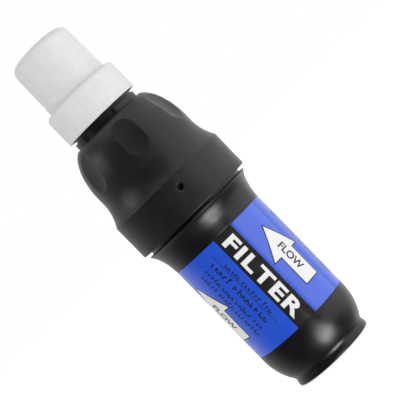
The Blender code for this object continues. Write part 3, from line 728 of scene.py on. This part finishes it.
def dash_text(lines, seed):
    """Rows of small strokes that look like fine print but spell nothing.

    A line is (phi in degrees, highest z, lowest z, letter height, stroke width).
    """
    draw = random.Random(seed)
    shape = bmesh.new()

    def stroke(x0, x1, y0, y1):
        where = Matrix.Translation(((x0 + x1) / 2, (y0 + y1) / 2, INK / 2))
        where @= Matrix.Diagonal((x1 - x0, y1 - y0, INK, 1))
        bmesh.ops.create_cube(shape, size=1.0, matrix=where)

    for phi_degrees, top, bottom, tall, thick in lines:
        foot = arc(phi_degrees) - tall / 2
        y = top
        while y > bottom:
            for _ in range(draw.randint(3, 8)):
                wide = tall * draw.uniform(0.42, 0.62)
                if y - wide < bottom:
                    break
                small = draw.random() < 0.7
                high = foot + tall * (0.72 if small else 1.0)
                stroke(foot, high, y - thick, y)
                bar = foot + (high - foot) * draw.choice((0.0, 0.45, 1.0))
                bar = min(bar, high - thick)
                stroke(bar, bar + thick, y - wide, y - thick - 0.02)
                if draw.random() < 0.5:
                    middle = foot + (high - foot) * 0.5
                    stroke(foot, middle, y - wide - thick - 0.02, y - wide - 0.02)
                y -= wide + thick + tall * 0.14
            y -= tall * 0.45
    mesh = bpy.data.meshes.new("dashes")
    shape.to_mesh(mesh)
    shape.free()
    return mesh


def rule(phi_degrees, top, bottom, wide):
    """A thin line along the barrel."""
    left, right = arc(phi_degrees) - wide / 2, arc(phi_degrees) + wide / 2
    return flat_outline([(left, bottom), (right, bottom), (right, top), (left, top)])


# Materials


class Finish:
    """A node material with helpers for adding procedural variation to its main shader."""

    def __init__(self, name, color, roughness):
        self.material = bpy.data.materials.new(name)
        self.material.use_nodes = True
        self.nodes = self.material.node_tree.nodes
        self.links = self.material.node_tree.links
        self.shader = self.nodes["Principled BSDF"]
        self.shader.inputs["Base Color"].default_value = (*color, 1)
        self.shader.inputs["Roughness"].default_value = roughness
        self.place = self.nodes.new("ShaderNodeTexCoord").outputs["Object"]

    def noise(self, size_mm, detail=2.0, stretch=(1, 1, 1)):
        """A noise whose features are about this big."""
        mapping = self.nodes.new("ShaderNodeMapping")
        mapping.inputs["Scale"].default_value = stretch
        self.links.new(self.place, mapping.inputs["Vector"])
        texture = self.nodes.new("ShaderNodeTexNoise")
        texture.inputs["Scale"].default_value = 1 / (size_mm * MM)
        texture.inputs["Detail"].default_value = detail
        self.links.new(mapping.outputs["Vector"], texture.inputs["Vector"])
        return texture.outputs["Fac"]

    def spread(self, value, low, high, start=0.3, end=0.7):
        """Maps a noise's middle range to low..high."""
        node = self.nodes.new("ShaderNodeMapRange")
        limits = {"From Min": start, "From Max": end, "To Min": low, "To Max": high}
        for name, number in limits.items():
            node.inputs[name].default_value = number
        self.links.new(value, node.inputs["Value"])
        return node.outputs["Result"]

    def tint(self, value, dark, light):
        """Base colour between two colours."""
        node = self.nodes.new("ShaderNodeMix")
        node.data_type = "RGBA"
        node.inputs["A"].default_value = (*dark, 1)
        node.inputs["B"].default_value = (*light, 1)
        self.links.new(value, node.inputs["Factor"])
        self.links.new(node.outputs["Result"], self.shader.inputs["Base Color"])

    def rough(self, value):
        self.links.new(value, self.shader.inputs["Roughness"])

    def bump(self, layers):
        """Adds (noise, depth in mm) layers of relief, one after the other."""
        normal = None
        for value, depth in layers:
            node = self.nodes.new("ShaderNodeBump")
            node.inputs["Distance"].default_value = depth * MM
            self.links.new(value, node.inputs["Height"])
            if normal:
                self.links.new(normal, node.inputs["Normal"])
            normal = node.outputs["Normal"]
        self.links.new(normal, self.shader.inputs["Normal"])


def black_plastic(name, dark, light, roughness, grain_mm, grain_depth):
    """Moulded black plastic: a fine grain, faint flow marks and slightly uneven gloss."""
    finish = Finish(name, dark, roughness)
    finish.tint(finish.spread(finish.noise(9, 4), 0, 1), dark, light)
    finish.rough(finish.spread(finish.noise(3.5, 5), roughness - 0.04, roughness + 0.05))
    finish.shader.inputs["Specular Tint"].default_value = (1.0, 0.96, 1.0, 1.0)
    flow = finish.noise(7, 1, (1, 1, 0.35))
    finish.bump([(flow, 0.02), (finish.noise(grain_mm, 3), grain_depth)])
    return finish.material


def white_plastic(name, dark, light, roughness):
    """Moulded white plastic with faint flow marks."""
    finish = Finish(name, light, roughness)
    finish.tint(finish.spread(finish.noise(6, 4), 0, 1), dark, light)
    finish.rough(finish.spread(finish.noise(2.5, 4), roughness - 0.05, roughness + 0.06))
    finish.bump([(finish.noise(5, 1), 0.015), (finish.noise(0.25, 2), 0.002)])
    finish.shader.inputs["Subsurface Weight"].default_value = 0.15
    finish.shader.inputs["Subsurface Radius"].default_value = (0.0012, 0.0012, 0.0013)
    return finish.material


def frosted_plastic():
    """Milky polypropylene that light passes through, but nothing shows clearly through."""
    finish = Finish("frosted_white", (0.86, 0.87, 0.88), 0.42)
    finish.tint(finish.spread(finish.noise(4, 4), 0, 1), (0.845, 0.855, 0.86), (0.905, 0.91, 0.915))
    finish.rough(finish.spread(finish.noise(1.6, 4), 0.36, 0.5))
    finish.bump([(finish.noise(3, 2), 0.02), (finish.noise(0.3, 2), 0.003)])
    finish.shader.inputs["IOR"].default_value = 1.49
    finish.shader.inputs["Transmission Weight"].default_value = 0.14
    return finish.material


def film_finish(name, dark, light, roughness, ior):
    """Glossy printed film with a faint mottle in the ink. A higher index reflects more."""
    finish = Finish(name, dark, roughness)
    finish.tint(finish.spread(finish.noise(0.8, 5), 0, 1), dark, light)
    finish.rough(finish.spread(finish.noise(5, 3), roughness - 0.03, roughness + 0.04))
    finish.bump([(finish.noise(11, 2), 0.03), (finish.noise(0.5, 2), 0.001)])
    finish.shader.inputs["IOR"].default_value = ior
    return finish.material


def soft_finish(name, dark, light, roughness, grain_mm):
    """Rubber, foam, resin or fibre: matt, with its grain at this size."""
    finish = Finish(name, dark, roughness)
    finish.tint(finish.spread(finish.noise(grain_mm * 6, 4), 0, 1), dark, light)
    finish.rough(finish.spread(finish.noise(grain_mm * 3, 3), roughness - 0.06, roughness + 0.06))
    finish.bump([(finish.noise(grain_mm, 3), 0.01)])
    return finish.material


# Light, floor and camera

FIELD_WIDTH = 140.8  # millimetres across the view at the filter's axis
SENSOR = 36.0
CAMERA_DISTANCE = 644.0
CAMERA_HEIGHT = 86.6
AIM_HEIGHT = 72.0
AIM_SIDE = 4.0  # how far right of the axis the view's middle is, seen with the cap up
ROLL = math.radians(44.25)


def toward(azimuth, elevation=0.0):
    """The direction from the filter at this angle to the right of the camera, and this angle up."""
    phi = azimuth + VIEW_AZIMUTH
    level = math.cos(elevation)
    return Vector((math.sin(phi) * level, -math.cos(phi) * level, math.sin(elevation)))


def make_camera():
    data = bpy.data.cameras.new("camera")
    data.sensor_width = SENSOR
    data.lens = SENSOR * CAMERA_DISTANCE / FIELD_WIDTH
    camera = new_object("camera", data)
    right = toward(math.radians(90))
    camera.location = (toward(0) * CAMERA_DISTANCE + Vector((0, 0, CAMERA_HEIGHT))) * MM
    aim = (right * AIM_SIDE + Vector((0, 0, AIM_HEIGHT))) * MM
    back = (camera.location - aim).normalized()
    level_right = Vector((0, 0, 1)).cross(back).normalized()
    level_up = back.cross(level_right)
    x_axis = math.cos(ROLL) * level_right - math.sin(ROLL) * level_up
    y_axis = math.sin(ROLL) * level_right + math.cos(ROLL) * level_up
    camera.rotation_mode = "QUATERNION"
    camera.rotation_quaternion = Matrix((x_axis, y_axis, back)).transposed().to_quaternion()
    data.clip_start = 0.01
    bpy.context.scene.camera = camera


def softbox(name, azimuth, elevation, wide, tall, radiance, shape="RECTANGLE"):
    """A light that faces the filter. Angles in degrees, sizes in millimetres."""
    distance, height = 600.0, 76.0
    data = bpy.data.lights.new(name, "AREA")
    data.shape = shape
    data.size = wide * MM
    data.size_y = tall * MM
    filled = math.pi / 4 if shape == "ELLIPSE" else 1.0
    data.energy = radiance * math.pi * data.size * data.size_y * filled
    light = new_object(name, data)
    away = toward(math.radians(azimuth), math.radians(elevation))
    light.location = (away * distance + Vector((0, 0, height))) * MM
    light.rotation_mode = "QUATERNION"
    light.rotation_quaternion = away.to_track_quat("Z", "Y")
    light.visible_camera = False
    return light


def make_lights():
    """Lights that only show in the gloss, and one that only lights matt surfaces."""
    gloss = [
        softbox("right_wall", 75, 12, 960, 1100, 1.08),
        softbox("low_front", 20, -42.5, 350, 280, 9.3, "ELLIPSE"),
        softbox("low_tail", 15, -37, 125, 540, 2.5, "ELLIPSE"),
        softbox("right_edge", 139, 4, 520, 1000, 0.42),
        softbox("upper_left", -78, 29, 280, 250, 3.0, "ELLIPSE"),
        softbox("top", 0, 78, 700, 560, 0.9),
    ]
    for light in gloss:
        light.visible_diffuse = False
    softbox("fill", 36, -30, 900, 800, 0.78).visible_glossy = False


def make_world():
    """White to the camera and even to matt surfaces. A gloss sees it dimmer in front than behind."""
    world = bpy.data.worlds.new("studio")
    bpy.context.scene.world = world
    world.use_nodes = True
    nodes, links = world.node_tree.nodes, world.node_tree.links
    background = nodes["Background"]
    axes = nodes.new("ShaderNodeSeparateXYZ")
    links.new(nodes.new("ShaderNodeTexCoord").outputs["Generated"], axes.inputs[0])
    level = nodes.new("ShaderNodeMapRange")
    level.interpolation_type = "SMOOTHSTEP"
    limits = {"From Min": -0.3, "From Max": 1.0, "To Min": 0.074, "To Max": 0.8}
    for name, number in limits.items():
        level.inputs[name].default_value = number
    links.new(axes.outputs["Y"], level.inputs["Value"])
    rays = nodes.new("ShaderNodeLightPath").outputs
    strength = level.outputs["Result"]
    for kind, number in (("Is Diffuse Ray", 0.77), ("Is Camera Ray", 1.0)):
        chosen = nodes.new("ShaderNodeMix")
        links.new(rays[kind], chosen.inputs["Factor"])
        links.new(strength, chosen.inputs["A"])
        chosen.inputs["B"].default_value = number
        strength = chosen.outputs["Result"]
    links.new(strength, background.inputs["Strength"])
    background.inputs["Color"].default_value = (1, 1, 1, 1)


def make_floor():
    """A pale floor that the filter stands on. It doesn't colour or shade the filter."""
    mesh = bpy.data.meshes.new("floor")
    shape = bmesh.new()
    bmesh.ops.create_circle(shape, cap_ends=True, segments=96, radius=6.0)
    shape.to_mesh(mesh)
    shape.free()
    floor = new_object("floor", mesh)
    floor.location.z = cad_low.z - 0.01 * MM
    finish = Finish("floor_white", (0.92, 0.92, 0.92), 0.7)
    finish.rough(finish.spread(finish.noise(40, 3), 0.6, 0.8))
    finish.shader.inputs["Emission Color"].default_value = (1, 1, 1, 1)
    finish.shader.inputs["Emission Strength"].default_value = 0.62
    mesh.materials.append(finish.material)
    floor.visible_diffuse = False
    floor.visible_glossy = False
    floor.visible_transmission = False
    floor.visible_shadow = False


def make_housing():
    """Barrel, head, washer and strainer. Returns the rubber and the grey plastic."""
    dark, light = (0.0035, 0.0025, 0.0038), (0.0055, 0.0042, 0.0058)
    barrel_black = black_plastic(
        "barrel_black", dark, light, roughness=0.32, grain_mm=0.12, grain_depth=0.001
    )
    dark, light = (0.0062, 0.0049, 0.0068), (0.0088, 0.0072, 0.0094)
    head_black = black_plastic(
        "head_black", dark, light, roughness=0.4, grain_mm=0.16, grain_depth=0.004
    )
    rubber = soft_finish("black_rubber", (0.012, 0.012, 0.012), (0.025, 0.025, 0.025), 0.6, 0.15)
    grey = white_plastic("grey_plastic", (0.42, 0.43, 0.44), (0.5, 0.51, 0.52), 0.45)
    place(make_barrel(), barrel_black, "filter_body", "barrel_plastic", "barrel")
    place(make_head(), head_black, "filter_body", "head_plastic", "outlet_head")
    gasket = washer("inlet_washer", GASKET_BORE_R, GASKET_R, GASKET_LOW, GASKET_TOP, 0.25)
    place(gasket, rubber, "filter_body", "rubber", "inlet_gasket")
    place(make_strainer(), grey, "filter_body", "grey_plastic", "inlet_strainer")
    return rubber, grey


def make_cap_group(liner_grey):
    """Screw cap with its post, spout, dust cap and liner."""
    cap_white = white_plastic("cap_white", (0.76, 0.76, 0.77), (0.81, 0.81, 0.82), 0.42)
    spout_white = white_plastic("spout_white", (0.82, 0.82, 0.83), (0.88, 0.88, 0.89), 0.34)
    place(make_cap(), cap_white, "cap", "cap_plastic", "screw_cap")
    place(make_post(), cap_white, "cap", "cap_plastic", "screw_cap")
    place(make_spout(), spout_white, "spout", "spout_plastic", "pull_spout")
    place(make_overcap(), frosted_plastic(), "dust_cap", "overcap_plastic", "overcap")
    liner = washer("liner_disc", LINER_BORE_R, LINER_R, LINER_LOW, LINER_TOP, 0.15)
    place(liner, liner_grey, "cap_seal", "seal_white", "cap_liner")


def make_label():
    """The film with its black stripe, and the words, arrows and small print on it."""
    blue = film_finish("label_blue", (0.002, 0.076, 0.67), (0.003, 0.086, 0.73), 0.2, 1.92)
    black = film_finish("label_black", (0.009, 0.008, 0.007), (0.014, 0.012, 0.011), 0.2, 1.85)
    white = film_finish("label_white", (0.82, 0.82, 0.8), (0.88, 0.88, 0.87), 0.34, 1.5)
    navy = film_finish("label_navy", (0.006, 0.012, 0.055), (0.01, 0.018, 0.075), 0.34, 1.5)
    film = place(make_film(), blue, "filter_body", "label_film", "wrap_label")
    paint_stripe(film, black)
    stripe_middle = arc(math.degrees(STRIPE_LEFT + STRIPE_RIGHT) / 2 - 0.6)
    word = lettering("FILTER", stripe_middle, 38.6, tall=5.5, long=35.8, bold=0.035, spacing=1.12)
    wrapped("stripe_word", word, ON_FILM, white)
    for number, phi_degrees in enumerate(ARROWS, start=1):
        make_arrow(number, phi_degrees, white, navy)
    front = [(-20.9, 50.4, 26.9, 1.75, 0.41), (-30.9, 53.7, 24.3, 2.4, 0.53)]
    front += [(-42.1, 53.3, 24.6, 1.7, 0.4), (-50.7, 52.7, 24.5, 1.7, 0.4)]
    side = [(68.0 + LINE_PITCH * line, 52.0, 22.0, *FINE_LINE) for line in range(9)]
    back = []
    for line in range(12):
        back.append((-178.0 + LINE_PITCH * line, 52.0, 22.0 + 4 * (line % 3), *FINE_LINE))
    wrapped("print_front", dash_text(front, 7), ON_FILM, navy)
    wrapped("print_side", dash_text(side, 11), ON_FILM, navy)
    wrapped("print_back", dash_text(back, 13), ON_FILM, navy)
    wrapped("print_rule", rule(-25.0, top=55.7, bottom=23.7, wide=0.2), ON_FILM, navy)


def dress_inside(rubber, grey):
    """Materials for the sealed CAD pieces that keep their own shape."""
    resin = soft_finish("potting_resin", (0.5, 0.38, 0.2), (0.6, 0.48, 0.28), 0.3, 0.4)
    fibre = soft_finish("membrane", (0.78, 0.77, 0.72), (0.86, 0.85, 0.81), 0.75, 0.25)
    for name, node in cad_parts.items():
        material = None
        if name.startswith("fibre_hank"):
            material = fibre
        elif name == "potting_plug":
            material = resin
        elif name.endswith("o_ring"):
            material = rubber
        elif name == "cartridge_sleeve":
            material = grey
        if material:
            node.data.materials.clear()
            node.data.materials.append(material)


bpy.context.scene.view_settings.view_transform = "Standard"
make_camera()
make_world()
make_lights()
make_floor()
rubber_black, plastic_grey = make_housing()
make_label()
make_cap_group(soft_finish("liner_grey", (0.5, 0.51, 0.52), (0.6, 0.61, 0.62), 0.7, 0.2))
dress_inside(rubber_black, plastic_grey)
